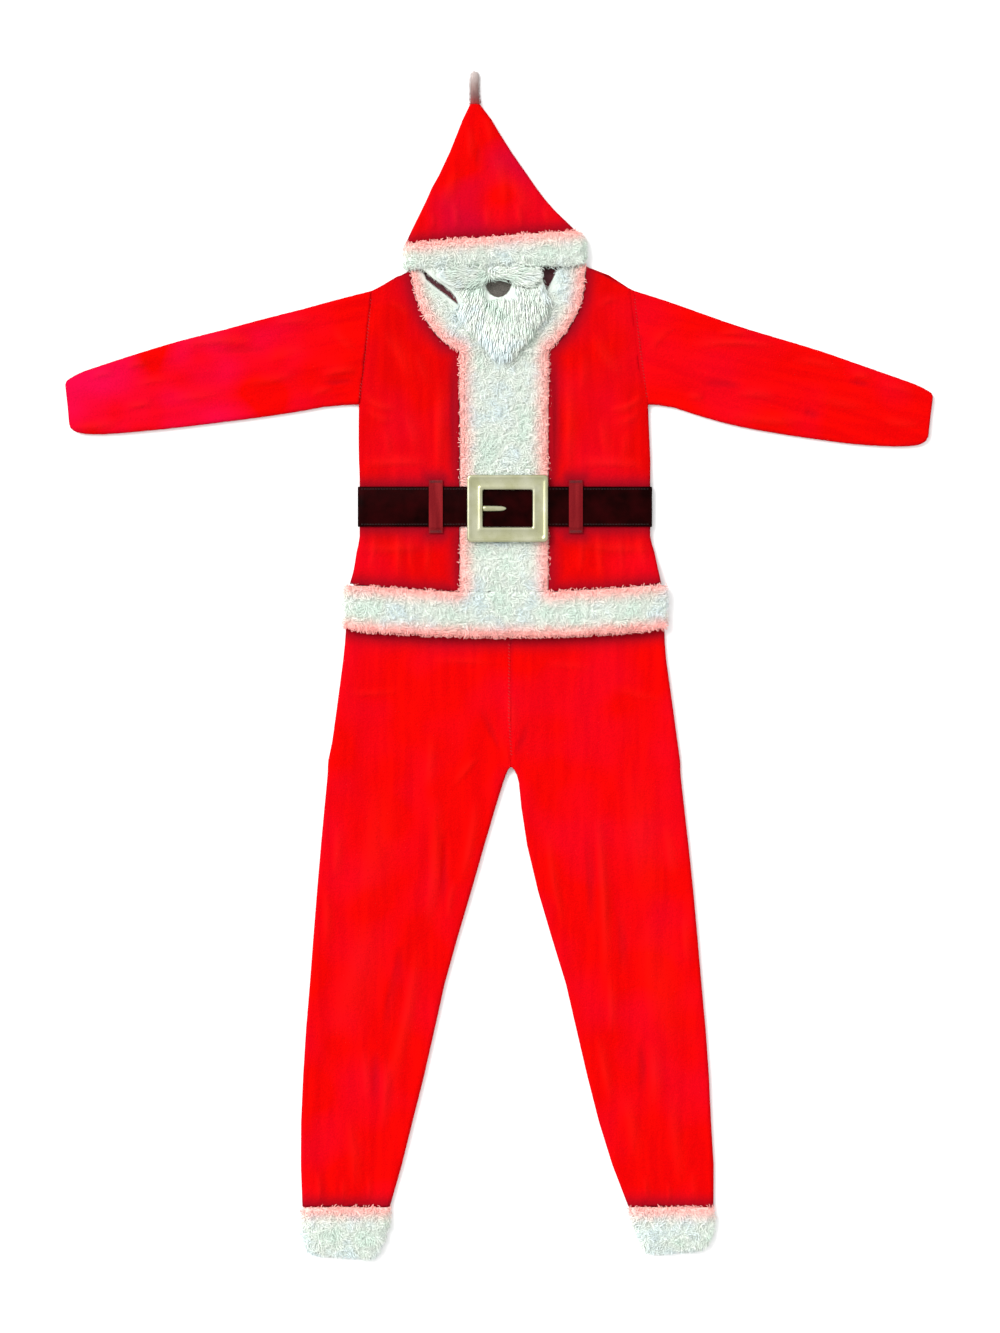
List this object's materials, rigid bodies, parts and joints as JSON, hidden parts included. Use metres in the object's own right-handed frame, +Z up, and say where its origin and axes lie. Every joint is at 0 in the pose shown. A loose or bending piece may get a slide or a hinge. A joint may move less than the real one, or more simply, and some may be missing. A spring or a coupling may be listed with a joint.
{
  "type": "santa suit",
  "caption": "Child's Santa suit laid flat: red fleece hat, jacket and trousers with white plush trims, a white plush beard, and a wide black belt with a pale gold buckle.",
  "frame": {"origin": "centre of the laid suit's outline, on the surface that it lies on", "axes": "+Z up out of that surface through the suit's front, +Y from the trousers towards the hat, +X towards the right side as it is looked at from above"},
  "size_m": [1.1275, 1.5418, 0.0207],
  "materials": {
    "red_fleece": "bright red brushed polyester fleece, matt with a short nap",
    "dark_red_fleece": "dark red fleece strip, matt",
    "white_plush": "off-white curly plush with a deep soft pile",
    "black_belt": "black leatherette, satin with a fine grain",
    "pale_gold": "plastic plated pale gold, softly polished",
    "grey_felt": "thin grey-brown felt, matt",
    "tail_cloth": "grey-brown cloth tail with a frayed nap, matt"
  },
  "bodies": {
    "root": {"hat_front": "red_fleece", "hat_back": "red_fleece", "jacket_front_left": "red_fleece", "jacket_front_right": "red_fleece", "jacket_back": "red_fleece", "sleeve_left": "red_fleece", "sleeve_right": "red_fleece", "pants_left_front": "red_fleece", "pants_left_back": "red_fleece", "pants_right_front": "red_fleece", "pants_right_back": "red_fleece", "belt_loop_left": "dark_red_fleece", "belt_loop_right": "dark_red_fleece", "hat_brim": "white_plush", "beard": "white_plush", "moustache": "white_plush", "collar_left": "white_plush", "collar_right": "white_plush", "collar_back": "white_plush", "placket": "white_plush", "hem_band_front": "white_plush", "hem_band_back": "white_plush", "pants_cuff_left": "white_plush", "pants_cuff_right": "white_plush", "belt": "black_belt", "buckle_frame": "pale_gold", "buckle_prong": "pale_gold", "mouth_backing": "grey_felt", "hat_tip": "tail_cloth"}
  },
  "joints": []
}
